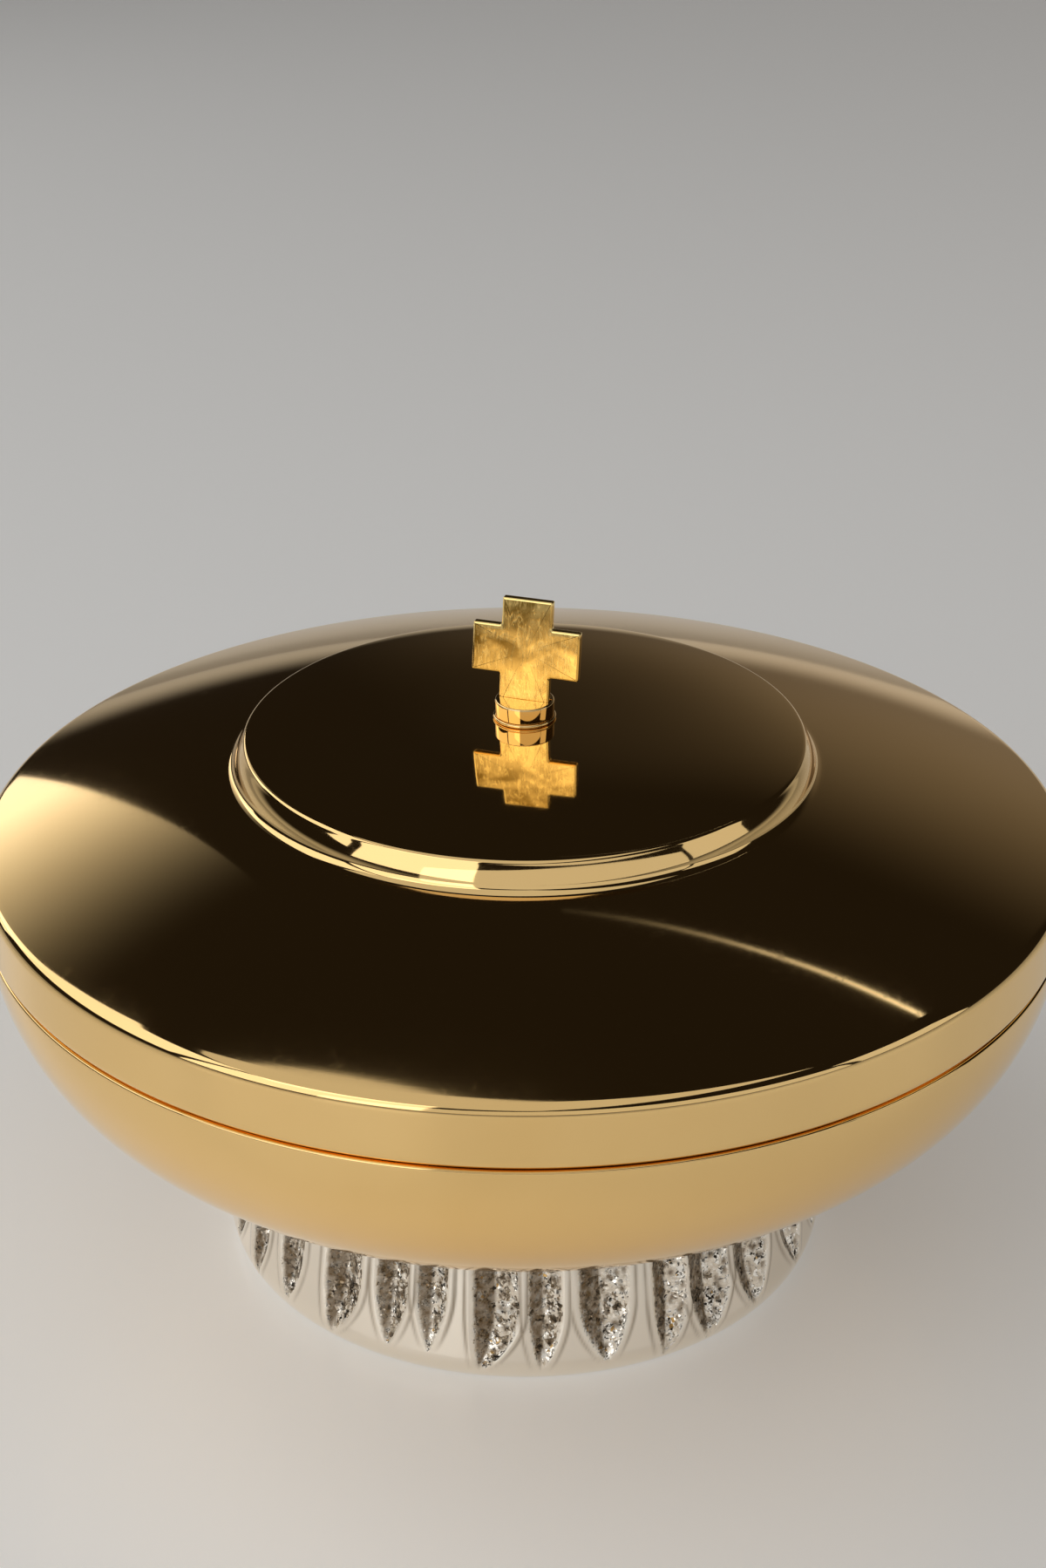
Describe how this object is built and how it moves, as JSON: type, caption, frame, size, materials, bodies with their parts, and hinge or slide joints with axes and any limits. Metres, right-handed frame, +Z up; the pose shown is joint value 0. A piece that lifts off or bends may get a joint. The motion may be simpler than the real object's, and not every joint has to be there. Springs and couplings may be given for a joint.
{
  "type": "ciborium",
  "caption": "Low covered ciborium: a wide shallow bowl on a fluted ring foot, with a domed lift-off lid and a small cross on its knob.",
  "frame": {"origin": "on the table, under the middle of the foot", "axes": "+Z up along the axis of the bowl and the lid; the arms of the cross point along +X and -X; +Y to the back"},
  "size_m": [0.18, 0.18, 0.116],
  "materials": {
    "gold_plate": "gold-plated brass, mirror polished",
    "cross_gold": "gold-plated brass, finely scratched faces",
    "foot_silver": "silver-plated casting, polished lands and crumpled flutes",
    "fastener_steel": "turned stainless steel"
  },
  "bodies": {
    "bowl": {"bowl_shell": "gold_plate", "bowl_rim_ring": "gold_plate", "foot_ring": "foot_silver", "foot_stud": "fastener_steel", "foot_clamp_plate": "fastener_steel", "foot_washer": "fastener_steel", "foot_nut": "fastener_steel"},
    "lid": {"lid_shell": "gold_plate", "knob_collar": "gold_plate", "knob_drum": "gold_plate", "finial_cross": "cross_gold", "knob_stud": "fastener_steel", "knob_washer": "fastener_steel", "knob_cap_nut": "gold_plate"}
  },
  "joints": [
    {"name": "lid_lift", "type": "slide", "parent": "bowl", "child": "lid", "axis": [0, 0, 1], "range_m": [0, 0.12]}
  ]
}
